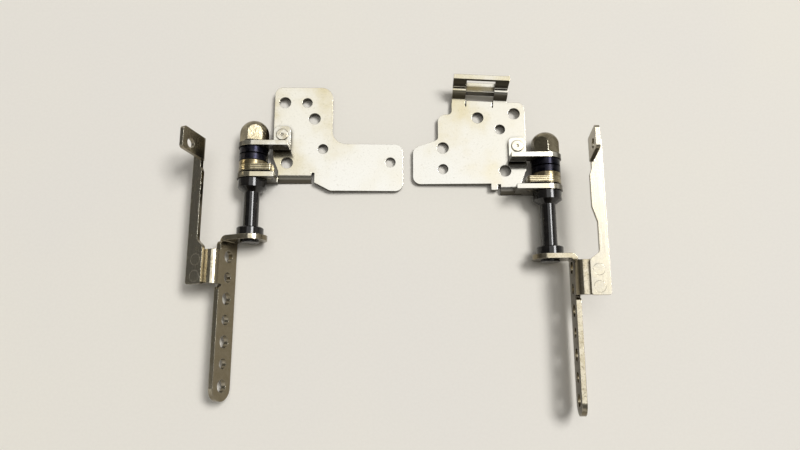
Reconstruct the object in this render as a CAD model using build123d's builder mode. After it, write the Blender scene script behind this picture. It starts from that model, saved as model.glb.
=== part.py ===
# Laptop hinge pair: a left and a right friction hinge, lying open as they come to rest.
#
# Every piece is drawn for the left hinge, in the hinge's own frame: the shaft runs along Y, the outer
# face of the base plate's ear is at Y = 0, the plate lies on the +X side and the arm on the -X side.
# Pieces of the right hinge are mirrored. Millimetres.

import os
from math import asin, atan2, cos, degrees, hypot, radians, sin, sqrt

from build123d import *

os.makedirs("parts", exist_ok=True)

# Sheets that the brackets are folded from
plate_sheet = 1.2
arm_sheet = 1.2
blade_sheet = 1.0
fold_inside = 0.3  # inside radius of the tight folds

# Shaft: a turned piece with two collars, a neck between them and a pin for the friction pack
pin_radius = 1.8
pin_flats = 2.8  # across the two flats on the pin
neck_radius = 1.9
upper_collar_radius = 3.5
upper_collar_length = 2.2
collar_cone = 1.1
lower_collar_radius = 3.25
lower_collar_length = 2.0
left_shaft_reach = 14.1  # from the plate's ear to the arm's flange
right_shaft_reach = 15.8
collar_break = 0.2  # chamfer on the collars' outer edges
stake_radius = 2.3
stake_height = 0.5
running_clearance = 0.04  # round the pin in the ears, which it turns in
key_clearance = 0.04  # round the pin in the washers, which turn with it

# Friction pack, from the plate's ear outwards
spacer_radius = 2.9
spacer_thickness = 0.5
friction_radius = 3.5
friction_thickness = 1.5
friction_reach = 5.2
friction_top = 3.7
friction_low = -1.0
boss_radius = 0.6
boss_x = 4.4
boss_z = 1.2
boss_clearance = 0.05
key_radius = 3.5
key_thickness = 1.2
disc_radius = 3.5
disc_thickness = 0.75
disc_cone = 0.15
disc_count = 4
disc_clearance = 0.1
nut_washer_radius = 3.1
nut_washer_thickness = 0.4
nut_flats = 6.2  # across the flats
nut_hex_height = 2.1
nut_dome_height = 3.6
left_nut_turn = 23.0
right_nut_turn = 34.0
nut_wall = 1.1  # over the end of the pin

# Ears: round about the shaft, flat on top
ear_radius = 3.8
plate_top = -1.6  # top of the base plate below the shaft's axis

# Base plates: outline along the barrel, shared by both hands
plate_near = 4.4  # edge beside the barrel
wall_near = 5.9  # where the folded wall starts
neck_low = 2.9  # foot of the slanted edge beside the ear
neck_high = 6.6  # top of that edge
wall_drop = 3.3  # lower edge of the wall below the axis
wall_fold = 1.1  # inside radius of the fold from the plate into the wall
relief = 0.8  # width of the notch at the end of the fold
relief_depth = 0.2  # of the notch past the fold
screw_hole = 1.5  # radius
pin_hole = 1.3  # radius
top_margin = 4.2  # from the left plate's top edge to its top holes
far_margin = 3.2  # from its far edge to its last hole
block_margin = 4.6  # from its block's far edge to the hole there

# Left base plate
left_ear_reach = 5.7
left_wall_far = 14.2
left_block_far = 19.3
left_top = 25.4
left_arm_top = 10.2
left_reach = 37.3
left_bottom = -2.1
left_step = 4.0  # length of the slanted edge after the notch
left_corner = 2.0
left_block_corner = 3.0
left_inner_corner = 3.5

# Right base plate
right_ear_reach = 7.8
right_wall_far = 11.0
right_nib = 1.6
right_nib_low = 1.1
right_bottom = 2.7
right_reach = 33.0
right_far_top = 12.2
right_step_x = 26.6
right_step_y = 14.4
right_shoulder = 21.2
right_hook_edge = 23.0
right_top = 24.3
right_corner = 2.0

# Hook on the right base plate: two folded legs, a ledge and a pierced lip
hook_near = 8.9
hook_width = 14.0
hook_turn = 3.6  # of the fold lines from the plate's edge, degrees
hook_leg = 3.4
hook_start = 0.9
hook_rise = 2.6
hook_lean = 0.6
hook_ledge = 1.9
hook_ledge_drop = 0.5
hook_lip = 3.8
hook_bar = 0.8  # left over the lip's window
hook_gap = 1.6  # from the plate's edge to the ledge, between the legs
hook_slit = 0.35
hook_slit_length = 1.6
hook_fold = 0.3

# Ear bracket and its rivet
foot_near = 4.65
foot_far = 8.9
foot_end = 14.4
foot_corner = 1.2
bracket_rivet_x = 6.75
bracket_rivet_y = 12.1
bracket_rivet_shank = 0.9
bracket_rivet_head = 1.5
bracket_rivet_height = 0.35
bracket_rivet_dimple = 0.35

# Screen bracket: flange on the shaft, strip of holes, tab for the blade
flange_radius = 3.7
flange_offset = 0.6  # of its round end from the shaft's axis
strip_inner = 4.6  # from the axis to the strip's near face
strip_high = 4.8
strip_width = 6.2
tip_reach = 52.9  # from the plate's ear to the strip's tip
strip_hole_large = 1.5  # radius
strip_hole_small = 1.25  # radius
strip_hole_count = 7
strip_hole_pitch = 5.05
strip_tip_margin = 3.5  # from the last hole to the tip
strip_shoulder = 1.0  # radius of its corner beside the flange
tab_fold = 0.8  # inside radius of the tab's fold
tab_near = 17.8  # from the plate's ear to the tab
tab_relief = 0.6  # width of the notches beside the tab
tab_relief_depth = 1.0
tab_width = 8.1
tab_reach = 11.6

# Blade arm and its rivets
blade_outer = 12.0
foot_inner = 7.6
blade_overhang = 0.2  # past the tab at the foot
left_blade_foot = 9.0
right_blade_foot = 8.1
blade_round = 1.0
blade_corner = 0.6  # radius of the foot's corners
blade_ease = 1.4  # length of the slanted edge above the foot
left_blade_inner = 9.3
left_blade_notch = 9.75  # inner edge beside the lug
left_notch_length = 1.7
right_blade_waist = 9.9
right_blade_shoulder = 8.8
right_blade_notch = 9.3
right_waist_start = 1.8  # above the foot
right_waist_end = -9.2
right_shoulder_start = -5.6
right_shoulder_end = 3.2  # below the lug
right_notch_length = 1.8
lug_inner = 8.8
lug_height = 7.5
lug_width = 5.5
left_lug_south = 4.1
right_lug_south = 5.2
lug_lean = 1.0  # of its end along the blade
lug_corner = 0.8
lug_hole = 1.2
lug_hole_height = 4.8
blade_rivet_x = 9.5
blade_rivet_edge = 1.7  # from the tab's end to the first rivet
blade_rivet_pitch = 3.9
blade_rivet_shank = 0.8
blade_rivet_head = 1.35
blade_rivet_tail = 1.2
blade_rivet_tail_height = 0.4

# Where the two hinges lie, and how far their arms are turned
plates_gap = 2.4  # between the far edges of the two plates
stagger = 3.0
left_arm_turn = -23.0
right_arm_turn = -4.3

# Distance between the two shafts
axis_spacing = left_reach + plates_gap + right_reach

# Stations along the shaft, from the plate's ear outwards
spacer_start = plate_sheet
friction_start = spacer_start + spacer_thickness
key_start = friction_start + friction_thickness
disc_start = key_start + key_thickness
disc_height = disc_thickness + disc_cone
bracket_start = disc_start + disc_count * disc_height
nut_washer_start = bracket_start + plate_sheet
nut_start = nut_washer_start + nut_washer_thickness
nut_end = nut_start + nut_hex_height + nut_dome_height
pin_end = nut_end - nut_wall

# Stations along the arm, and heights in it
strip_tip = -tip_reach
strip_low = strip_high - strip_width
strip_middle = (strip_high + strip_low) / 2
strip_mid = strip_inner + arm_sheet / 2
strip_outer = strip_inner + arm_sheet
tab_mid = strip_high + tab_fold + arm_sheet / 2
tab_top = tab_mid + arm_sheet / 2
tab_north = -tab_near
tab_south = tab_north - tab_width
blade_low = tab_top
blade_top = blade_low + blade_sheet
blade_south = tab_south - blade_overhang
rivet_south = tab_south + blade_rivet_edge
plate_bottom = plate_top - plate_sheet
fold_outside = fold_inside + plate_sheet
wall_outside = wall_fold + plate_sheet


def across(y):
    """Plane across the shaft at y, seen from the arm's end: X to the plate, Z up."""
    return Plane.XZ.offset(-y)


def near(x, y):
    """The sketch corner closest to a point, for rounding it."""
    return vertices().sort_by_distance((x, y))[0]


def double_flat(clearance):
    """Outline of the pin with its two flats, in the sketch being drawn."""
    Circle(pin_radius + clearance)
    Rectangle(2 * ear_radius, pin_flats + 2 * clearance, mode=Mode.INTERSECT)


def keyed_washer(start, radius, thickness):
    """Round washer that turns with the pin."""
    with BuildPart() as washer:
        with BuildSketch(across(start + thickness)):
            Circle(radius)
        extrude(amount=thickness)
        with BuildSketch(across(start + thickness)):
            double_flat(key_clearance)
        extrude(amount=thickness, mode=Mode.SUBTRACT)
    return washer


def plate_ear(ear_reach, wall_far):
    """Upright ear of a base plate and the folded wall that carries it."""
    with BuildPart() as ear:
        with BuildSketch(across(plate_sheet)):
            Circle(ear_radius)
            with BuildLine():
                Polyline(
                    (0, ear_radius),
                    (ear_reach, ear_radius),
                    (ear_reach, plate_top),
                    (wall_near, plate_top),
                    (wall_near, -wall_drop),
                    (0, -ear_radius),
                    close=True,
                )
            make_face()
        extrude(amount=plate_sheet)
        # The wall, curving down from the plate to the table
        with BuildSketch(Plane.YZ.offset(wall_near)):
            with Locations((wall_outside, plate_top - wall_outside)):
                Circle(wall_outside)
                Circle(wall_fold, mode=Mode.SUBTRACT)
            with Locations((wall_outside, plate_top)):
                Rectangle(wall_outside, plate_top + wall_drop, align=Align.MAX, mode=Mode.INTERSECT)
        extrude(amount=wall_far - wall_near)
        # Round hole for the pin, and the hole that holds the friction plate's boss
        with BuildSketch(across(plate_sheet)):
            Circle(pin_radius + running_clearance)
            with Locations((boss_x, boss_z)):
                Circle(boss_radius + boss_clearance)
        extrude(amount=plate_sheet, mode=Mode.SUBTRACT)
    return ear


def plate_holes(screws, pins):
    """Screw and locating holes of a base plate and its rivet hole, in the sketch being drawn."""
    with Locations(screws):
        Circle(screw_hole)
    with Locations(pins):
        Circle(pin_hole)
    with Locations((bracket_rivet_x, bracket_rivet_y)):
        Circle(bracket_rivet_shank)


# Left base plate: an L of sheet, its near edge folded down into the wall that carries the ear
left_screws = [(7.0, left_top - top_margin), (left_block_far - block_margin, 16.9), (8.0, 5.1)]
left_pins = [(12.7, left_top - top_margin), (17.0, 8.8), (left_reach - far_margin, 5.4)]
left_ear = plate_ear(left_ear_reach, left_wall_far)
with BuildPart() as left_plate:
    with BuildSketch(Plane.XY.offset(plate_bottom)):
        notch_end = left_wall_far + relief
        with BuildLine():
            Polyline(
                (wall_near, wall_outside),
                (left_wall_far, wall_outside),
                (left_wall_far, wall_outside + relief_depth),
                (notch_end, wall_outside + relief_depth),
                (notch_end, 0),
                (notch_end + left_step, left_bottom),
                (left_reach, left_bottom),
                (left_reach, left_arm_top),
                (left_block_far, left_arm_top),
                (left_block_far, left_top),
                (plate_near, left_top),
                (plate_near, neck_high),
                (wall_near, neck_low),
                close=True,
            )
        make_face()
        fillet([near(left_reach, left_bottom), near(left_reach, left_arm_top)], left_corner)
        fillet(near(left_block_far, left_arm_top), left_inner_corner)
        fillet(near(left_block_far, left_top), left_block_corner)
        fillet(near(plate_near, left_top), left_corner)
        fillet(near(notch_end + left_step, left_bottom), left_corner)
    extrude(amount=plate_sheet)
    with BuildSketch(Plane.XY.offset(plate_bottom)):
        plate_holes(left_screws, left_pins)
    extrude(amount=plate_sheet, mode=Mode.SUBTRACT)
    add(left_ear.part)

# Right base plate: stepped outline, with the pierced hook folded up at its far edge
right_screws = [(7.1, 21.2), (16.4, 20.2), (25.4, 12.2), (9.8, 6.0)]
right_pins = [(10.8, 17.0), (25.4, 6.6)]
right_ear = plate_ear(right_ear_reach, right_wall_far)
with BuildPart() as right_plate:
    with BuildSketch(Plane.XY.offset(plate_bottom)):
        notch_end = right_wall_far + relief
        nib_end = notch_end + right_nib
        with BuildLine():
            Polyline(
                (wall_near, wall_outside),
                (right_wall_far, wall_outside),
                (right_wall_far, wall_outside + relief_depth),
                (notch_end, wall_outside + relief_depth),
                (notch_end, right_nib_low),
                (nib_end, right_nib_low),
                (nib_end, right_bottom),
                (right_reach, right_bottom),
                (right_reach, right_far_top),
                (right_step_x, right_step_y),
                (right_step_x, right_shoulder),
                (right_hook_edge, right_shoulder),
                (right_hook_edge, right_top),
                (plate_near, right_top),
                (plate_near, neck_high),
                (wall_near, neck_low),
                close=True,
            )
        make_face()
        fillet([near(right_reach, right_bottom), near(right_reach, right_far_top)], right_corner)
        fillet(near(right_step_x, right_shoulder), right_corner)
        fillet(near(plate_near, right_top), right_corner)
        fillet([near(right_step_x, right_step_y), near(right_hook_edge, right_shoulder)], right_corner / 2)
    extrude(amount=plate_sheet)
    with BuildSketch(Plane.XY.offset(plate_bottom)):
        plate_holes(right_screws, right_pins)
    extrude(amount=plate_sheet, mode=Mode.SUBTRACT)
    add(right_ear.part)
    # Hook: one strip of sheet folded three times, its fold lines turned a little from the plate's edge
    turn = radians(hook_turn)
    hook_end = Plane((hook_near, right_top, 0), x_dir=(-sin(turn), cos(turn), 0), z_dir=(cos(turn), sin(turn), 0))
    plate_mid = plate_top - plate_sheet / 2
    ledge_mid = plate_mid + hook_rise
    lip_foot = hook_start + hook_lean + hook_ledge
    lip_top = ledge_mid + hook_lip
    with BuildSketch(hook_end):
        with BuildLine():
            FilletPolyline(
                (-2 * hook_start, plate_mid),
                (hook_start, plate_mid),
                (hook_start + hook_lean, ledge_mid),
                (lip_foot, ledge_mid - hook_ledge_drop),
                (lip_foot + hook_lean, ledge_mid + hook_lip + plate_sheet / 2),
                radius=plate_sheet / 2 + hook_fold,
            )
        trace(line_width=plate_sheet)
        # Its top edge is cut level with the plate
        with Locations((lip_foot, lip_top)):
            Rectangle(4 * plate_sheet, hook_lip, align=(Align.CENTER, Align.MIN), mode=Mode.SUBTRACT)
    extrude(amount=hook_width)
    # Window in the lip, and the gap between the legs with a slit at each of its inner corners
    window_width = hook_width - 2 * hook_leg
    lip_window = hook_lip - hook_bar + hook_ledge_drop - plate_sheet / 2
    with BuildSketch(hook_end.offset(hook_leg)):
        with Locations((lip_foot, lip_top - hook_bar)):
            Rectangle(4 * plate_sheet, lip_window, align=(Align.CENTER, Align.MAX))
        with Locations((0, plate_bottom)):
            Rectangle(hook_gap, hook_rise + 2 * plate_sheet, align=Align.MIN)
    extrude(amount=window_width, mode=Mode.SUBTRACT)
    for slit in (hook_leg, hook_leg + window_width - hook_slit):
        with BuildSketch(hook_end.offset(slit)):
            with Locations((0, plate_bottom)):
                Rectangle(hook_slit_length, plate_sheet, align=(Align.MAX, Align.MIN))
        extrude(amount=hook_slit, mode=Mode.SUBTRACT)

# Ear bracket: an L with its foot on the plate and its ear round the pin
with BuildPart() as ear_bracket:
    with BuildSketch(Plane.YZ.offset(foot_near)):
        with BuildLine():
            FilletPolyline(
                (foot_end, plate_top + plate_sheet / 2),
                (bracket_start + plate_sheet / 2, plate_top + plate_sheet / 2),
                (bracket_start + plate_sheet / 2, ear_radius),
                radius=plate_sheet / 2 + fold_inside,
            )
        trace(line_width=plate_sheet)
    extrude(amount=foot_far - foot_near)
    fillet(edges().filter_by(Axis.Z).group_by(Axis.Y)[-1], foot_corner)
    with BuildSketch(across(bracket_start + plate_sheet)):
        Circle(ear_radius)
        with Locations((0, plate_top + fold_outside)):
            Rectangle(foot_far, ear_radius - plate_top - fold_outside, align=Align.MIN)
    extrude(amount=plate_sheet)
    with BuildSketch(across(bracket_start + plate_sheet)):
        Circle(pin_radius + running_clearance)
    extrude(amount=plate_sheet, mode=Mode.SUBTRACT)
    with Locations((bracket_rivet_x, bracket_rivet_y, plate_top + plate_sheet)):
        Hole(bracket_rivet_shank, plate_sheet)

# Bracket rivet: low head with a dimple, its shank flush under the plate
with BuildPart() as bracket_rivet:
    with BuildSketch(Plane.XZ.offset(-bracket_rivet_y)):
        with Locations((bracket_rivet_x, plate_bottom)):
            Rectangle(bracket_rivet_shank, 2 * plate_sheet, align=Align.MIN)
        with Locations((bracket_rivet_x, plate_top + plate_sheet)):
            Rectangle(bracket_rivet_head, bracket_rivet_height, align=Align.MIN)
    revolve(axis=Axis((bracket_rivet_x, bracket_rivet_y, 0), (0, 0, 1)))
    fillet(edges().filter_by(GeomType.CIRCLE).group_by(Axis.Z)[-1], bracket_rivet_height / 2)
    with Locations((bracket_rivet_x, bracket_rivet_y, plate_top + plate_sheet + bracket_rivet_height)):
        Hole(bracket_rivet_dimple, bracket_rivet_height / 2)

# Friction plate: round about the pin with a square shoulder, held by its boss in the plate's ear
with BuildPart() as friction_plate:
    with BuildSketch(across(key_start)):
        Circle(friction_radius)
        with Locations((0, friction_low)):
            Rectangle(friction_reach, friction_top - friction_low, align=Align.MIN)
        fillet([near(friction_reach, friction_low), near(friction_reach, friction_top)], boss_radius)
        Circle(pin_radius + running_clearance, mode=Mode.SUBTRACT)
    extrude(amount=friction_thickness)
    with BuildSketch(across(friction_start)):
        with Locations((boss_x, boss_z)):
            Circle(boss_radius)
    extrude(amount=spacer_thickness + plate_sheet - boss_clearance)


def turned_shaft(flange_start):
    """Shaft in one piece, with flats on the pin and on the tail that is staked in the arm's flange."""
    flange_end = flange_start - arm_sheet
    with BuildPart() as turned:
        with BuildSketch(Plane.XY):
            with BuildLine():
                Polyline(
                    (0, flange_end - stake_height),
                    (stake_radius, flange_end - stake_height),
                    (stake_radius, flange_end),
                    (pin_radius, flange_end),
                    (pin_radius, flange_start),
                    (lower_collar_radius, flange_start),
                    (lower_collar_radius, flange_start + lower_collar_length),
                    (neck_radius, flange_start + lower_collar_length),
                    (neck_radius, -upper_collar_length - collar_cone),
                    (upper_collar_radius, -upper_collar_length),
                    (upper_collar_radius, 0),
                    (pin_radius, 0),
                    (pin_radius, pin_end),
                    (0, pin_end),
                    close=True,
                )
            make_face()
            lower_edge = near(lower_collar_radius, flange_start + lower_collar_length)
            chamfer([lower_edge, near(upper_collar_radius, 0)], collar_break)
        revolve(axis=Axis.Y)
        fillet(edges().filter_by(GeomType.CIRCLE).group_by(Axis.Y)[0], stake_height / 2)
        flat_depth = pin_radius - pin_flats / 2
        for start, end in ((flange_end, flange_start), (0, nut_start)):
            with BuildSketch(across(end)):
                with Locations((0, pin_radius), (0, -pin_radius)):
                    Rectangle(4 * pin_radius, 2 * flat_depth)
            extrude(amount=end - start, mode=Mode.SUBTRACT)
    return turned


left_shaft = turned_shaft(-left_shaft_reach)
right_shaft = turned_shaft(-right_shaft_reach)

# Washers of the friction pack
spacer_washer = keyed_washer(spacer_start, spacer_radius, spacer_thickness)
key_washer = keyed_washer(key_start, key_radius, key_thickness)
nut_washer = keyed_washer(nut_washer_start, nut_washer_radius, nut_washer_thickness)

# Disc springs: two pairs of coned discs, each pair meeting at its rim
with BuildPart() as disc_springs:
    for index in range(disc_count):
        low = disc_start + index * disc_height
        hub_lift = 0 if index % 2 == 0 else disc_cone
        rim_lift = disc_cone - hub_lift
        hub = pin_radius + disc_clearance
        with BuildSketch(Plane.XY):
            with BuildLine():
                Polyline(
                    (hub, low + hub_lift),
                    (disc_radius, low + rim_lift),
                    (disc_radius, low + rim_lift + disc_thickness),
                    (hub, low + hub_lift + disc_thickness),
                    close=True,
                )
            make_face()
        revolve(axis=Axis.Y, mode=Mode.ADD, clean=False)


def domed_nut(turn):
    """Lock nut tightened to a turn: a hexagon whose flats run out into a dome over the end of the pin."""
    dome_start = nut_start + nut_hex_height
    nut_corner = nut_flats / sqrt(3)
    dome_curve = (nut_corner**2 + nut_dome_height**2) / (2 * nut_dome_height)
    with BuildPart() as nut:
        with BuildSketch(across(nut_end)):
            RegularPolygon(nut_flats / 2, 6, major_radius=False, rotation=turn)
        extrude(amount=nut_end - nut_start)
        with BuildSketch(Plane.XY):
            with BuildLine():
                Polyline((0, nut_end), (0, nut_start), (nut_corner, nut_start), (nut_corner, dome_start))
                RadiusArc((nut_corner, dome_start), (0, nut_end), -dome_curve)
            make_face()
        revolve(axis=Axis.Y, mode=Mode.INTERSECT)
        with BuildSketch(across(pin_end + key_clearance)):
            Circle(pin_radius + key_clearance)
        extrude(amount=pin_end + key_clearance - nut_start, mode=Mode.SUBTRACT)
    return nut


left_nut = domed_nut(left_nut_turn)
right_nut = domed_nut(right_nut_turn)


def folded_bracket(flange_start):
    """Screen bracket: flange and strip folded from one sheet, the blade's tab folded off the strip."""
    flange_mid = flange_start - arm_sheet / 2
    strip_start = flange_start - arm_sheet - fold_inside
    with BuildPart() as bracket:
        with BuildSketch(Plane.XY.offset(-flange_radius)):
            with BuildLine():
                FilletPolyline(
                    (flange_radius + flange_offset, flange_mid),
                    (-strip_mid, flange_mid),
                    (-strip_mid, strip_tip),
                    radius=arm_sheet / 2 + fold_inside,
                )
            trace(line_width=arm_sheet)
        extrude(amount=flange_radius + strip_high)
        # Outline seen from the side: a strip with a round tip, notched beside the tab, and the flange
        with BuildSketch(Plane.YZ.offset(-strip_outer)):
            with Locations((strip_start, strip_high)):
                Rectangle(strip_start - strip_tip, strip_width, align=Align.MAX)
            fillet([near(strip_tip, strip_high), near(strip_tip, strip_low)], 0.49 * strip_width)
            fillet(near(strip_start, strip_high), strip_shoulder)
            with Locations((strip_start, -flange_radius)):
                Rectangle(flange_start - strip_start, 2 * flange_radius, align=Align.MIN)
            with Locations((tab_south, strip_high)):
                Rectangle(tab_relief, tab_relief_depth, align=Align.MAX, mode=Mode.SUBTRACT)
            relief_end = strip_high - tab_relief_depth
            fillet([near(tab_south, relief_end), near(tab_south - tab_relief, relief_end)], 0.49 * tab_relief)
            fillet(near(tab_south - tab_relief, strip_high), 0.9 * (tab_relief_depth - 0.49 * tab_relief))
        extrude(amount=strip_outer + flange_radius + flange_offset, mode=Mode.INTERSECT)
        # Outline seen along the shaft: the flange has a round end about the shaft's tail
        with BuildSketch(across(flange_start)):
            with Locations((flange_offset, 0)):
                Circle(flange_radius)
            with BuildLine():
                Polyline(
                    (flange_offset, flange_radius),
                    (-strip_inner, flange_radius),
                    (-strip_inner, strip_high),
                    (-strip_outer, strip_high),
                    (-strip_outer, strip_low),
                    (-strip_inner, strip_low),
                    (flange_offset, -flange_radius),
                    close=True,
                )
            make_face()
        extrude(amount=flange_start - strip_tip, mode=Mode.INTERSECT)
        # Tab
        with BuildSketch(across(tab_north)):
            with BuildLine():
                FilletPolyline(
                    (-strip_mid, strip_middle),
                    (-strip_mid, tab_mid),
                    (-tab_reach, tab_mid),
                    radius=arm_sheet / 2 + tab_fold,
                )
            trace(line_width=arm_sheet)
        extrude(amount=tab_width)
        # Holes: the tail's seat, the strip's row and the rivets' pair
        with BuildSketch(across(flange_start)):
            double_flat(0)
        extrude(amount=arm_sheet, mode=Mode.SUBTRACT)
        with BuildSketch(Plane.YZ.offset(-strip_outer)):
            for index in range(strip_hole_count):
                hole_radius = strip_hole_small if index % 2 else strip_hole_large
                with Locations((strip_tip + strip_tip_margin + index * strip_hole_pitch, strip_middle)):
                    Circle(hole_radius)
        extrude(amount=arm_sheet, mode=Mode.SUBTRACT)
        for index in range(2):
            with Locations((-blade_rivet_x, rivet_south + index * blade_rivet_pitch, tab_top)):
                Hole(blade_rivet_shank, arm_sheet)
    return bracket


left_bracket = folded_bracket(-left_shaft_reach)
right_bracket = folded_bracket(-right_shaft_reach)


def blade_arm(waist, lug_south):
    """Blade with its foot on the tab and a lug folded up at its far end; waist is its inner edge."""
    lug_mid = lug_inner + blade_sheet / 2
    blade_mid = blade_low + blade_sheet / 2
    with BuildPart() as blade:
        with BuildSketch(Plane.XY.offset(blade_low)):
            with BuildLine():
                Polyline(
                    (-blade_outer, blade_south),
                    (-foot_inner, blade_south),
                    *waist,
                    (-blade_outer, lug_south),
                    close=True,
                )
            make_face()
            fillet([near(*point) for point in waist[:-1]], blade_round)
            fillet([near(-blade_outer, blade_south), near(-foot_inner, blade_south)], blade_corner)
        extrude(amount=blade_sheet)
        # The fold at the blade's end, and the leaning lug above it
        lug_foot = blade_top + fold_inside
        lug_end = blade_top + lug_height
        with BuildSketch(across(lug_south + lug_width)):
            with BuildLine():
                FilletPolyline(
                    (-blade_outer, blade_mid),
                    (-lug_mid, blade_mid),
                    (-lug_mid, lug_foot),
                    radius=blade_sheet / 2 + fold_inside,
                )
            trace(line_width=blade_sheet)
        extrude(amount=lug_width)
        with BuildSketch(Plane.YZ.offset(-lug_inner)):
            with BuildLine():
                Polyline(
                    (lug_south, lug_foot),
                    (lug_south + lug_width, lug_foot),
                    (lug_south + lug_width + lug_lean, lug_end),
                    (lug_south + lug_lean, lug_end),
                    close=True,
                )
            make_face()
            fillet([near(lug_south + lug_lean, lug_end), near(lug_south + lug_width + lug_lean, lug_end)], lug_corner)
            with Locations((lug_south + lug_width / 2, blade_top + lug_hole_height)):
                Circle(lug_hole, mode=Mode.SUBTRACT)
        extrude(amount=-blade_sheet)
        for index in range(2):
            with Locations((-blade_rivet_x, rivet_south + index * blade_rivet_pitch, blade_top)):
                CounterSinkHole(blade_rivet_shank, blade_rivet_head, blade_sheet, 90)
    return blade


left_foot_end = blade_south + left_blade_foot
left_blade = blade_arm(
    [
        (-foot_inner, left_foot_end),
        (-left_blade_inner, left_foot_end + blade_ease),
        (-left_blade_inner, left_lug_south - left_notch_length - blade_round),
        (-left_blade_notch, left_lug_south - left_notch_length),
        (-left_blade_notch, left_lug_south),
    ],
    left_lug_south,
)
right_foot_end = blade_south + right_blade_foot
right_blade = blade_arm(
    [
        (-foot_inner, right_foot_end),
        (-right_blade_waist, right_foot_end + right_waist_start),
        (-right_blade_waist, right_waist_end),
        (-right_blade_shoulder, right_shoulder_start),
        (-right_blade_shoulder, right_lug_south - right_shoulder_end),
        (-right_blade_notch, right_lug_south - right_notch_length),
        (-right_blade_notch, right_lug_south),
    ],
    right_lug_south,
)

# Blade rivets: sunk heads flush with the blade, tails upset under the tab
with BuildPart() as blade_rivets:
    for index in range(2):
        rivet_y = rivet_south + index * blade_rivet_pitch
        tail_start = tab_top - arm_sheet
        with BuildSketch(Plane((-blade_rivet_x, rivet_y, 0), x_dir=(1, 0, 0), z_dir=(0, -1, 0))):
            with BuildLine():
                Polyline(
                    (0, blade_top),
                    (blade_rivet_head, blade_top),
                    (blade_rivet_shank, blade_top - blade_rivet_head + blade_rivet_shank),
                    (blade_rivet_shank, tail_start),
                    (blade_rivet_tail, tail_start),
                    (blade_rivet_tail, tail_start - blade_rivet_tail_height),
                    (0, tail_start - blade_rivet_tail_height),
                    close=True,
                )
            make_face()
        revolve(axis=Axis((-blade_rivet_x, rivet_y, 0), (0, 0, 1)))


def lying_tilt(reach):
    """Turn about the shaft that brings a plate's far edge down to the table, the ears resting on it."""
    return degrees(asin(ear_radius / hypot(reach, plate_bottom)) - atan2(-plate_bottom, reach))


# Each hinge on the table: the fixed pieces lie tilted, the arm is turned about the shaft
base_pieces = {"ear_bracket": ear_bracket, "bracket_rivet": bracket_rivet, "friction_plate": friction_plate}
arm_pieces = {
    "spacer_washer": spacer_washer,
    "key_washer": key_washer,
    "disc_springs": disc_springs,
    "nut_washer": nut_washer,
    "blade_rivets": blade_rivets,
}
left_base_pieces = {"base_plate": left_plate, **base_pieces}
left_arm_pieces = {
    "shaft": left_shaft,
    "lock_nut": left_nut,
    "screen_bracket": left_bracket,
    "blade_arm": left_blade,
    **arm_pieces,
}
right_base_pieces = {"base_plate": right_plate, **base_pieces}
right_arm_pieces = {
    "shaft": right_shaft,
    "lock_nut": right_nut,
    "screen_bracket": right_bracket,
    "blade_arm": right_blade,
    **arm_pieces,
}
left_base = Location((-axis_spacing / 2, stagger / 2, ear_radius), (0, lying_tilt(left_reach), 0))
left_arm = Location((-axis_spacing / 2, stagger / 2, ear_radius), (0, left_arm_turn, 0))
right_base = Location((axis_spacing / 2, -stagger / 2, ear_radius), (0, -lying_tilt(right_reach), 0))
right_arm = Location((axis_spacing / 2, -stagger / 2, ear_radius), (0, right_arm_turn, 0))

laid = {}
for name, piece in left_base_pieces.items():
    laid[f"left_{name}"] = piece.part.moved(left_base)
for name, piece in left_arm_pieces.items():
    laid[f"left_{name}"] = piece.part.moved(left_arm)
for name, piece in right_base_pieces.items():
    laid[f"right_{name}"] = mirror(piece.part, about=Plane.YZ).moved(right_base)
for name, piece in right_arm_pieces.items():
    laid[f"right_{name}"] = mirror(piece.part, about=Plane.YZ).moved(right_arm)

# The origin is under the middle of the pair, on the table
boxes = [piece.bounding_box() for piece in laid.values()]
middle_x = (min(box.min.X for box in boxes) + max(box.max.X for box in boxes)) / 2
middle_y = (min(box.min.Y for box in boxes) + max(box.max.Y for box in boxes)) / 2
to_origin = Location((-middle_x, -middle_y, -min(box.min.Z for box in boxes)))
for name, piece in laid.items():
    placed = piece.moved(to_origin)
    placed.label = name
    export_step(placed, f"parts/{name}.step")
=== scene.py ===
"""A pair of laptop hinges lying on a pale table, one for each side of the screen.
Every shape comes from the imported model. This script adds each piece's finish, the table and the light."""

import math

import bpy
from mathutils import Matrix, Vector

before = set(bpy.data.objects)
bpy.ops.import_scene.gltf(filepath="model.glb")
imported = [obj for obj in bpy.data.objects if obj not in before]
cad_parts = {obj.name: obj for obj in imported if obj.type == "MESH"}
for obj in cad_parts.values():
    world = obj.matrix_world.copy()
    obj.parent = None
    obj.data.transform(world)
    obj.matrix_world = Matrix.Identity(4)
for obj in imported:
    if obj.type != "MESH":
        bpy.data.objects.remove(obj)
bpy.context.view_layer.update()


# Base plates.
# Stamped from 1.2 mm steel strip and nickel plated, with the strip's rolling grain along the plate.
# The plating has yellowed in clouds that gather towards the barrel and the far edge, where the colour
# is yellower overall too. The folded and blanked sides are dull and painted dark as shade, and the
# corners where pieces meet carry painted shade.

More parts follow.
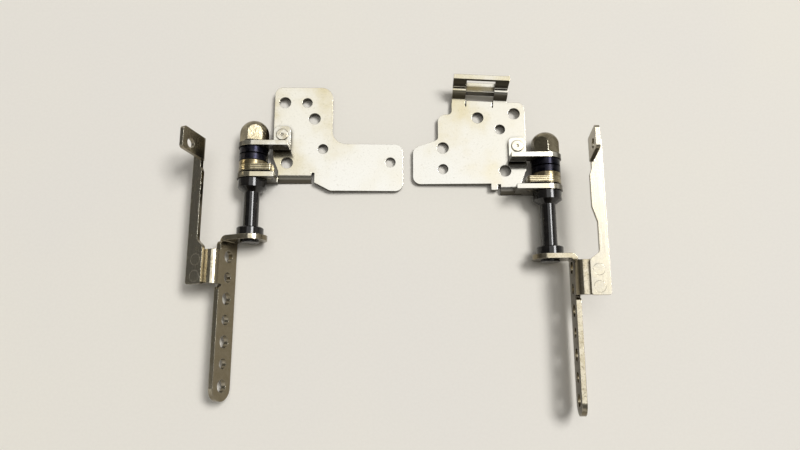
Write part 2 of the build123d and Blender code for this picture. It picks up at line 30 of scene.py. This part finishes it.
class Shade:
    """One output of a shader node. Sums on shades add Math nodes, node() adds any other node."""

    def __init__(self, tree, socket):
        self.tree, self.socket = tree, socket

    def node(self, kind, settings, sockets, out=0):
        made = self.tree.nodes.new(kind)
        for name, value in settings.items():
            setattr(made, name, value)
        for name, value in sockets.items():
            if isinstance(value, Shade):
                self.tree.links.new(value.socket, made.inputs[name])
            else:
                made.inputs[name].default_value = value
        return Shade(self.tree, made.outputs[out])

    def maths(self, operation, first, second):
        return self.node("ShaderNodeMath", {"operation": operation}, {0: first, 1: second})

    def __add__(self, other):
        return self.maths("ADD", self, other)

    def __sub__(self, other):
        return self.maths("SUBTRACT", self, other)

    def __rsub__(self, other):
        return self.maths("SUBTRACT", other, self)

    def __mul__(self, other):
        return self.maths("MULTIPLY", self, other)

    __radd__, __rmul__ = __add__, __mul__

    def __abs__(self):
        return self.node("ShaderNodeMath", {"operation": "ABSOLUTE"}, {0: self})

    def feed(self, shader, name):
        self.tree.links.new(self.socket, shader.inputs[name])


def bare_metal(name):
    """A new metal, as its shader and the place on the piece that its patterns start from."""
    metal = bpy.data.materials.new(name)
    metal.use_nodes = True
    shader = metal.node_tree.nodes["Principled BSDF"]
    shader.inputs["Metallic"].default_value = 1.0
    coords = metal.node_tree.nodes.new("ShaderNodeTexCoord")
    return metal, shader, Shade(metal.node_tree, coords.outputs["Object"])


def ramp(at, value, low, high):
    """A soft step, 0 where value is at low and 1 where it is at high."""
    return at.node("ShaderNodeMapRange", {"interpolation_type": "SMOOTHSTEP"},
                   {"Value": value, "From Min": low, "From Max": high})


def share_along(at, vector, axis):
    """One of the three numbers of a vector, by the name of its axis."""
    return at.node("ShaderNodeSeparateXYZ", {}, {"Vector": vector}, axis)


def agreement(at, first, second):
    """The dot product of two directions: 1 where they are the same, 0 where they are square."""
    return at.node("ShaderNodeVectorMath", {"operation": "DOT_PRODUCT"}, {0: first, 1: second}, 1)


def cloud(at, scale, detail=3.0, stretch=(1, 1, 1), low=0.35, high=0.65):
    """Soft noise from 0 to 1, scale in lumps per metre, drawn out along an axis of small stretch."""
    placed = at.node("ShaderNodeMapping", {}, {"Vector": at, "Scale": stretch})
    noise = at.node("ShaderNodeTexNoise", {}, {"Vector": placed, "Scale": scale, "Detail": detail})
    return ramp(at, noise, low, high)


def tint(at, share, first, second):
    """The colour first where share is 0 and second where it is 1."""
    return at.node("ShaderNodeMix", {"data_type": "RGBA"},
                   {0: share, 6: (*first, 1.0), 7: (*second, 1.0)}, 2)


def over(at, share, below, above):
    """The colour above laid over the shade below by share."""
    return at.node("ShaderNodeMix", {"data_type": "RGBA"}, {0: share, 6: below, 7: (*above, 1.0)}, 2)


def eased(at, radius):
    """The normal with every sharp edge rounded by radius."""
    return at.node("ShaderNodeBevel", {"samples": 6}, {"Radius": radius})


def along_edges(at, rounded, reach):
    """1 along the edges, where the rounded normal leaves the flat one, and 0 on the flats.
    It sets edge wear and joint rings, and painted highlight lines on the nuts and blades.
    """
    flat = at.node("ShaderNodeNewGeometry", {}, {}, "Normal")
    return at.node("ShaderNodeMapRange", {},
                   {"Value": 1 - agreement(at, rounded, flat), "From Min": 0.0, "From Max": reach})


def dented(at, height, rounded, depth):
    """A normal with the height pattern pressed into it, depth in metres."""
    return at.node("ShaderNodeBump", {},
                   {"Height": height, "Normal": rounded, "Strength": 1.0, "Distance": depth})


def lying(at):
    """1 on the faces that lie level, 0 on the folded and blanked sides."""
    facing = at.node("ShaderNodeTexCoord", {}, {}, "Normal")
    return ramp(at, abs(share_along(at, facing, "Z")), 0.70, 0.985)


def corner_shade(at, reach):
    """1 deep in the corners where pieces meet and shade falls, and 0 out in the open.
    It sets where shade is painted into the colour.
    """
    open_air = at.node("ShaderNodeAmbientOcclusion", {"samples": 6}, {"Distance": reach}, "AO")
    return ramp(at, open_air, 0.90, 0.45)


plate_bright = (0.625, 0.614, 0.570)
plate_yellowed = (0.520, 0.455, 0.285)
plate_speckle = (0.27, 0.232, 0.144)
plate_side_shade = (0.085, 0.073, 0.050)
plate_rub = (0.660, 0.635, 0.565)
plate_corner_shade = (0.055, 0.046, 0.034)
nickel_plate, shader, at = bare_metal("nickel_plate")
rounded = eased(at, radius=0.00010)
stain = cloud(at, scale=90, detail=5.0, low=0.42, high=0.72)
grain = cloud(at, scale=2600, detail=2.0, stretch=(0.05, 1, 1), low=0.25, high=0.75)
speckle = cloud(at, scale=2100, detail=4.0, low=0.56, high=0.74)
outward = ramp(at, abs(share_along(at, at, "X")), 0.012, 0.040)
rearward = ramp(at, share_along(at, at, "Y"), 0.004, 0.040)
# yellower towards the barrel and the far edge
outer_and_rear = 0.5 * outward + 0.6 * rearward
colour = tint(at, stain * (0.15 + 0.85 * outer_and_rear) + 0.30 * outer_and_rear, plate_bright, plate_yellowed)
colour = over(at, speckle * 0.18, colour, plate_speckle)
level = lying(at)
# painted shade: the folded and blanked sides are painted dark
colour = over(at, (1 - level) * 0.95, colour, plate_side_shade)
colour = over(at, along_edges(at, rounded, reach=0.25) * 0.2, colour, plate_rub)
# painted shade, darker in the corners where pieces meet
colour = over(at, corner_shade(at, reach=0.0012) * 0.8, colour, plate_corner_shade)
colour.feed(shader, "Base Color")
(0.3 + 0.7 * level).feed(shader, "Metallic")
(0.12 + 0.06 * stain + 0.015 * grain + 0.05 * speckle).feed(shader, "Roughness")
shader.inputs["Specular IOR Level"].default_value = 0.15
dented(at, 0.2 * grain + 0.6 * speckle, rounded, depth=0.0000012).feed(shader, "Normal")

for name in ("left_base_plate", "right_base_plate"):
    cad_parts[name].data.materials[0] = nickel_plate


# Ear brackets.
# A small folded ear of the same plated steel, riveted to each plate through its foot.
# Its bent flank carries the hinge pin and is dull, and the press has left it a little rougher.
# Its folded sides are painted dark as shade, and the corners where it meets other pieces carry painted
# shade.

ear_bright = (0.650, 0.630, 0.556)
ear_yellowed = (0.555, 0.500, 0.362)
ear_pit = (0.24, 0.20, 0.12)
ear_side_shade = (0.055, 0.047, 0.033)
ear_rub = (0.68, 0.65, 0.55)
ear_corner_shade = (0.045, 0.038, 0.030)
nickel_ear, shader, at = bare_metal("nickel_ear")
rounded = eased(at, radius=0.00012)
stain = cloud(at, scale=260, detail=4.0)
grain = cloud(at, scale=2600, detail=2.0, stretch=(1, 0.08, 1), low=0.25, high=0.75)
pit = cloud(at, scale=3000, low=0.58, high=0.76)
colour = tint(at, stain * 0.8, ear_bright, ear_yellowed)
colour = over(at, pit * 0.25, colour, ear_pit)
level = lying(at)
# painted shade: the folded sides are painted dark
colour = over(at, 1 - level, colour, ear_side_shade)
colour = over(at, along_edges(at, rounded, reach=0.25) * 0.4, colour, ear_rub)
# painted shade in the corners where the ear meets other pieces
colour = over(at, corner_shade(at, reach=0.0010) * 0.8, colour, ear_corner_shade)
colour.feed(shader, "Base Color")
(0.3 + 0.7 * level).feed(shader, "Metallic")
(0.17 + 0.07 * stain + 0.04 * grain).feed(shader, "Roughness")
shader.inputs["Specular IOR Level"].default_value = 0.15
dented(at, 0.5 * grain + 0.5 * pit, rounded, depth=0.000002).feed(shader, "Normal")

for name in ("left_ear_bracket", "right_ear_bracket"):
    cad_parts[name].data.materials[0] = nickel_ear


# Bracket rivets.
# A soft steel rivet holds each ear bracket down. The riveting tool has left its head finely
# dented, and the plating on it has yellowed in patches.

rivet_bright = (0.640, 0.608, 0.512)
rivet_yellowed = (0.480, 0.424, 0.304)
rivet_corner_shade = (0.050, 0.042, 0.032)
nickel_rivet, shader, at = bare_metal("nickel_rivet")
rounded = eased(at, radius=0.00016)
wear = cloud(at, scale=900)
tooling = cloud(at, scale=5200, detail=2.0, low=0.3, high=0.7)
colour = tint(at, wear * 0.8, rivet_bright, rivet_yellowed)
# painted shade in the corners round the rivet head
colour = over(at, corner_shade(at, reach=0.0009) * 0.9, colour, rivet_corner_shade)
colour.feed(shader, "Base Color")
(0.18 + 0.08 * wear + 0.04 * tooling).feed(shader, "Roughness")
dented(at, tooling, rounded, depth=0.000002).feed(shader, "Normal")

for name in ("left_bracket_rivet", "right_bracket_rivet"):
    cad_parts[name].data.materials[0] = nickel_rivet


# Shafts and spacer washers.
# The hinge pins are turned from bar and blackened, then oiled, so they are glossy black with
# the fine rings of the lathe across them. The spacer washer on each is blackened too.

shaft_black = (0.0050, 0.0044, 0.0040)
shaft_film = (0.012, 0.0105, 0.0090)
shaft_rub = (0.10, 0.092, 0.080)
black_shaft, shader, at = bare_metal("black_shaft")
rounded = eased(at, radius=0.00008)
rings = cloud(at, scale=9000, detail=1.0, stretch=(0.02, 1, 0.02), low=0.3, high=0.7)
film = cloud(at, scale=500, detail=4.0)
worn = along_edges(at, rounded, reach=0.3)
colour = tint(at, film, shaft_black, shaft_film)
colour = over(at, worn * 0.6, colour, shaft_rub)
colour.feed(shader, "Base Color")
(0.5 * worn).feed(shader, "Metallic")
(0.20 + 0.08 * film + 0.03 * rings).feed(shader, "Roughness")
dented(at, rings, rounded, depth=0.000002).feed(shader, "Normal")
shader.inputs["Specular IOR Level"].default_value = 0.05
shader.inputs["Coat Weight"].default_value = 0.8
shader.inputs["Coat Roughness"].default_value = 0.10

for name in ("left_shaft", "right_shaft", "left_spacer_washer", "right_spacer_washer"):
    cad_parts[name].data.materials[0] = black_shaft


# Friction plates.
# Thin stamped leaves with a square shoulder, held still by a boss in the plate's ear.
# Passivated to a pale gold, with grease in the surface and dark lines between the leaves.

leaf_thickness = 0.0005
wave_turn = 20  # radians that Blender's wave turns through in a metre at a scale of 1
gold_pale = (0.430, 0.375, 0.250)
gold_greased = (0.220, 0.182, 0.106)
gold_rub = (0.46, 0.42, 0.32)
gold_line = (0.060, 0.048, 0.028)
pale_gold, shader, at = bare_metal("pale_gold")
rounded = eased(at, radius=0.00010)
grease = cloud(at, scale=620, detail=4.0, low=0.42, high=0.74)
leaf_scale = 2 * math.pi / (wave_turn * leaf_thickness)
leaves = at.node("ShaderNodeTexWave", {"bands_direction": "Y"},
                 {"Vector": at, "Scale": leaf_scale, "Distortion": 0.6, "Detail": 1.0})
between = ramp(at, leaves, 0.35, 0.0)
colour = tint(at, grease, gold_pale, gold_greased)
colour = over(at, along_edges(at, rounded, reach=0.25) * 0.6, colour, gold_rub)
colour = over(at, between * 0.8, colour, gold_line)
colour.feed(shader, "Base Color")
(0.22 + 0.10 * grease + 0.10 * between).feed(shader, "Roughness")
dented(at, 1 - between, rounded, depth=0.00002).feed(shader, "Normal")

for name in ("left_friction_plate", "right_friction_plate"):
    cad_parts[name].data.materials[0] = pale_gold


# Key washers.
# A stamped washer that turns with the pin and rubs on the friction plate. Its gold passivation
# has browned, and grease has turned it a dark olive in patches.

olive_brown = (0.305, 0.253, 0.156)
olive_greased = (0.124, 0.100, 0.056)
olive_rub = (0.40, 0.36, 0.26)
olive_gold, shader, at = bare_metal("olive_gold")
rounded = eased(at, radius=0.00010)
grease = cloud(at, scale=760, detail=4.0, low=0.34, high=0.66)
scuff = cloud(at, scale=3800, detail=2.0, stretch=(0.12, 1, 0.12), low=0.35, high=0.7)
colour = tint(at, grease, olive_brown, olive_greased)
colour = over(at, along_edges(at, rounded, reach=0.25) * 0.6, colour, olive_rub)
colour.feed(shader, "Base Color")
(0.22 + 0.12 * grease + 0.06 * scuff).feed(shader, "Roughness")
dented(at, scuff, rounded, depth=0.000005).feed(shader, "Normal")

for name in ("left_key_washer", "right_key_washer"):
    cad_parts[name].data.materials[0] = olive_gold


# Disc springs.
# Four dished spring washers press the friction pack together. Hardened spring steel,
# blued nearly black, with grease on the discs.

spring_blued = (0.010, 0.010, 0.016)
spring_greased = (0.022, 0.021, 0.026)
spring_rub = (0.045, 0.045, 0.052)
black_spring, shader, at = bare_metal("black_spring")
rounded = eased(at, radius=0.00008)
grease = cloud(at, scale=800, detail=4.0)
colour = tint(at, grease, spring_blued, spring_greased)
colour = over(at, along_edges(at, rounded, reach=0.3) * 0.4, colour, spring_rub)
colour.feed(shader, "Base Color")
(0.22 + 0.16 * grease).feed(shader, "Roughness")
dented(at, cloud(at, scale=3200, detail=2.0), rounded, depth=0.000003).feed(shader, "Normal")

for name in ("left_disc_springs", "right_disc_springs"):
    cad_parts[name].data.materials[0] = black_spring


# Nut washers and lock nuts.
# A domed hexagon nut closes each pack over a flat washer. Both are cold formed and plated in
# a darker nickel, with soft pressed faces. Their corners are rubbed bright by the spanner and painted
# brighter still as highlight lines.

nut_nickel = (0.320, 0.284, 0.196)
nut_tarnish = (0.200, 0.172, 0.114)
nut_rub_and_highlight = (0.56, 0.53, 0.44)
dark_nickel, shader, at = bare_metal("dark_nickel")
rounded = eased(at, radius=0.00026)
tarnish = cloud(at, scale=420, detail=4.0)
forged = cloud(at, scale=1900)
colour = tint(at, tarnish, nut_nickel, nut_tarnish)
# corners rubbed bright and painted brighter as highlight lines
colour = over(at, along_edges(at, rounded, reach=0.15) * 0.9, colour, nut_rub_and_highlight)
colour.feed(shader, "Base Color")
(0.17 + 0.08 * tarnish + 0.04 * forged).feed(shader, "Roughness")
dented(at, forged, rounded, depth=0.000008).feed(shader, "Normal")

for name in ("left_nut_washer", "right_nut_washer", "left_lock_nut", "right_lock_nut"):
    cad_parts[name].data.materials[0] = dark_nickel


# Screen brackets.
# Folded from one strip of 1.2 mm steel: the flange on the shaft, the bar with its row of
# screw holes, and the tab the blade is riveted to. Barrel plated, so it is a mottled nickel.

arm_bright = (0.560, 0.510, 0.395)
arm_mottle = (0.440, 0.388, 0.275)
arm_side_shade = (0.150, 0.125, 0.080)
arm_fleck = (0.150, 0.124, 0.076)
arm_corner_shade = (0.050, 0.040, 0.026)
arm_rub = (0.52, 0.49, 0.41)
nickel_arm, shader, at = bare_metal("nickel_arm")
rounded = eased(at, radius=0.00014)
mottle = cloud(at, scale=700, detail=5.0, low=0.36, high=0.66)
fleck = cloud(at, scale=2600, low=0.5, high=0.72)
grain = cloud(at, scale=2400, detail=2.0, stretch=(1, 0.05, 1), low=0.25, high=0.75)
colour = tint(at, mottle, arm_bright, arm_mottle)
# painted shade: the folded and blanked sides are painted dark
colour = over(at, (1 - lying(at)) * 0.85, colour, arm_side_shade)
colour = over(at, fleck * 0.55, colour, arm_fleck)
# painted shade in the corners where pieces meet
colour = over(at, corner_shade(at, reach=0.0010) * 0.7, colour, arm_corner_shade)
colour = over(at, along_edges(at, rounded, reach=0.25) * 0.7, colour, arm_rub)
colour.feed(shader, "Base Color")
(0.165 + 0.05 * mottle + 0.06 * fleck).feed(shader, "Roughness")
dented(at, 0.35 * grain + 0.65 * fleck, rounded, depth=0.000006).feed(shader, "Normal")

for name in ("left_screen_bracket", "right_screen_bracket"):
    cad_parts[name].data.materials[0] = nickel_arm


# Blade arms.
# The long thin blade up the side of the screen, 1 mm steel with a screw lug bent up at its
# end. Plated with the bracket, and rolled along its length.

blade_bright = (0.500, 0.465, 0.380)
blade_mottle = (0.460, 0.420, 0.325)
blade_side_shade = (0.180, 0.152, 0.100)
blade_fleck = (0.160, 0.132, 0.082)
blade_corner_shade = (0.050, 0.040, 0.026)
blade_rub_and_highlight = (0.52, 0.49, 0.41)
nickel_blade, shader, at = bare_metal("nickel_blade")
rounded = eased(at, radius=0.00012)
mottle = cloud(at, scale=520, detail=5.0, low=0.36, high=0.68)
fleck = cloud(at, scale=2800, low=0.52, high=0.74)
grain = cloud(at, scale=3000, detail=2.0, stretch=(1, 0.04, 1), low=0.25, high=0.75)
colour = tint(at, mottle, blade_bright, blade_mottle)
# painted shade: the sides are painted dark
colour = over(at, (1 - lying(at)) * 0.75, colour, blade_side_shade)
colour = over(at, fleck * 0.2, colour, blade_fleck)
# painted shade in the corners where pieces meet
colour = over(at, corner_shade(at, reach=0.0010) * 0.7, colour, blade_corner_shade)
# edges rubbed bright and painted as bright highlight lines
colour = over(at, along_edges(at, rounded, reach=0.25) * 0.7, colour, blade_rub_and_highlight)
colour.feed(shader, "Base Color")
(0.18 + 0.06 * mottle + 0.05 * grain).feed(shader, "Roughness")
dented(at, 0.5 * grain + 0.5 * fleck, rounded, depth=0.000005).feed(shader, "Normal")

for name in ("left_blade_arm", "right_blade_arm"):
    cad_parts[name].data.materials[0] = nickel_blade


# Blade rivets.
# Two flush rivets join each blade to its bracket's tab and are dressed level with it, so they
# show as faint dark rings round a slightly cleaner metal.

pin_bright = (0.505, 0.470, 0.385)
pin_worn = (0.460, 0.420, 0.325)
pin_ring = (0.20, 0.17, 0.12)
nickel_pin, shader, at = bare_metal("nickel_pin")
rounded = eased(at, radius=0.00008)
wear = cloud(at, scale=1100)
colour = tint(at, wear, pin_bright, pin_worn)
colour = over(at, along_edges(at, rounded, reach=0.3) * 0.5, colour, pin_ring)
colour.feed(shader, "Base Color")
(0.18 + 0.07 * wear).feed(shader, "Roughness")
dented(at, cloud(at, scale=3600, detail=2.0), rounded, depth=0.000004).feed(shader, "Normal")

for name in ("left_blade_rivets", "right_blade_rivets"):
    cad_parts[name].data.materials[0] = nickel_pin


# Table.
# The pair lies on a plain pale table top of a warm white.
# It is matt, with a slow drift of tone and a faint mottle.

table_size = 6.0
table_warm = (0.890, 0.852, 0.765)
table_cool = (0.872, 0.836, 0.768)
table_fibre = (0.60, 0.56, 0.52)
bpy.ops.object.select_all(action="DESELECT")
bpy.ops.mesh.primitive_plane_add(size=table_size)
table = bpy.context.object
table.name = "table"
pale_table = bpy.data.materials.new("pale_table")
pale_table.use_nodes = True
shader = pale_table.node_tree.nodes["Principled BSDF"]
coords = pale_table.node_tree.nodes.new("ShaderNodeTexCoord")
at = Shade(pale_table.node_tree, coords.outputs["Object"])
drift = cloud(at, scale=14, low=0.3, high=0.7)
fibre = cloud(at, scale=1500, low=0.3, high=0.7)
colour = tint(at, drift, table_warm, table_cool)
colour = over(at, fibre * 0.05, colour, table_fibre)
colour.feed(shader, "Base Color")
shader.inputs["Roughness"].default_value = 0.75
shader.inputs["Specular IOR Level"].default_value = 0.2
table.data.materials.append(pale_table)


# Light.
# A broad soft panel overhead that the level faces mirror, and a smaller window light towards the
# upper right that gives the shadows. The room lights the table from its low walls; the walls that
# the metal mirrors are as pale but reach higher, and there is a dark doorway on the left.

lamp_height = 3.0


def panel(name, across, along, size, brightness):
    """A soft oblong light aimed at the table, off to the side by across and along times its height."""
    lamp = bpy.data.lights.new(name, "AREA")
    lamp.shape, (lamp.size, lamp.size_y) = "RECTANGLE", size
    lamp.energy = brightness * math.pi * size[0] * size[1]
    stand = bpy.data.objects.new(name, lamp)
    bpy.context.scene.collection.objects.link(stand)
    stand.location = lamp_height * Vector((across, along, 1.0))
    stand.rotation_euler = stand.location.to_track_quat("Z", "Y").to_euler()
    stand.visible_camera = False


panel("overhead_panel", across=0.04, along=0.19, size=(1.92, 2.16), brightness=1.40)
panel("window_light", across=0.53, along=0.31, size=(1.45, 0.95), brightness=19.5)

wall_pale = (0.60, 0.58, 0.55)
room_dim = (0.130, 0.128, 0.122)
doorway_way = (-0.875, 0.26, 0.41)
room = bpy.data.worlds.new("room")
room.use_nodes = True
bpy.context.scene.world = room
sky = room.node_tree.nodes["Background"]
coords = room.node_tree.nodes.new("ShaderNodeTexCoord")
at = Shade(room.node_tree, coords.outputs["Generated"])
height = share_along(at, at, "Z")
lighting = ramp(at, height, 0.08, 0.42)
walls = ramp(at, height, 0.50, 0.80)
doorway = ramp(at, agreement(at, at, doorway_way), 0.90, 0.97)
seen = (at.node("ShaderNodeLightPath", {}, {}, "Is Camera Ray")
        + at.node("ShaderNodeLightPath", {}, {}, "Is Glossy Ray"))
dimness = lighting + seen * (walls - lighting)
dimness = dimness + doorway * (1 - dimness)
tint(at, dimness, wall_pale, room_dim).feed(sky, "Color")


# Camera.
# Held above the table and a little towards the near edge, as the photograph was taken.

aim = Vector((0.001901, 0.004069, 0.0))
lean = math.radians(11.8)
reach = 0.155
lens = bpy.data.cameras.new("camera")
lens.sensor_width, lens.lens = 36.0, 27.9
lens.clip_start = 0.005
camera = bpy.data.objects.new("camera", lens)
bpy.context.scene.collection.objects.link(camera)
camera.location = aim + reach * Vector((0.0, -math.sin(lean), math.cos(lean)))
camera.rotation_euler = (lean, 0.0, 0.0)
bpy.context.scene.camera = camera
bpy.context.scene.view_settings.view_transform = "Standard"
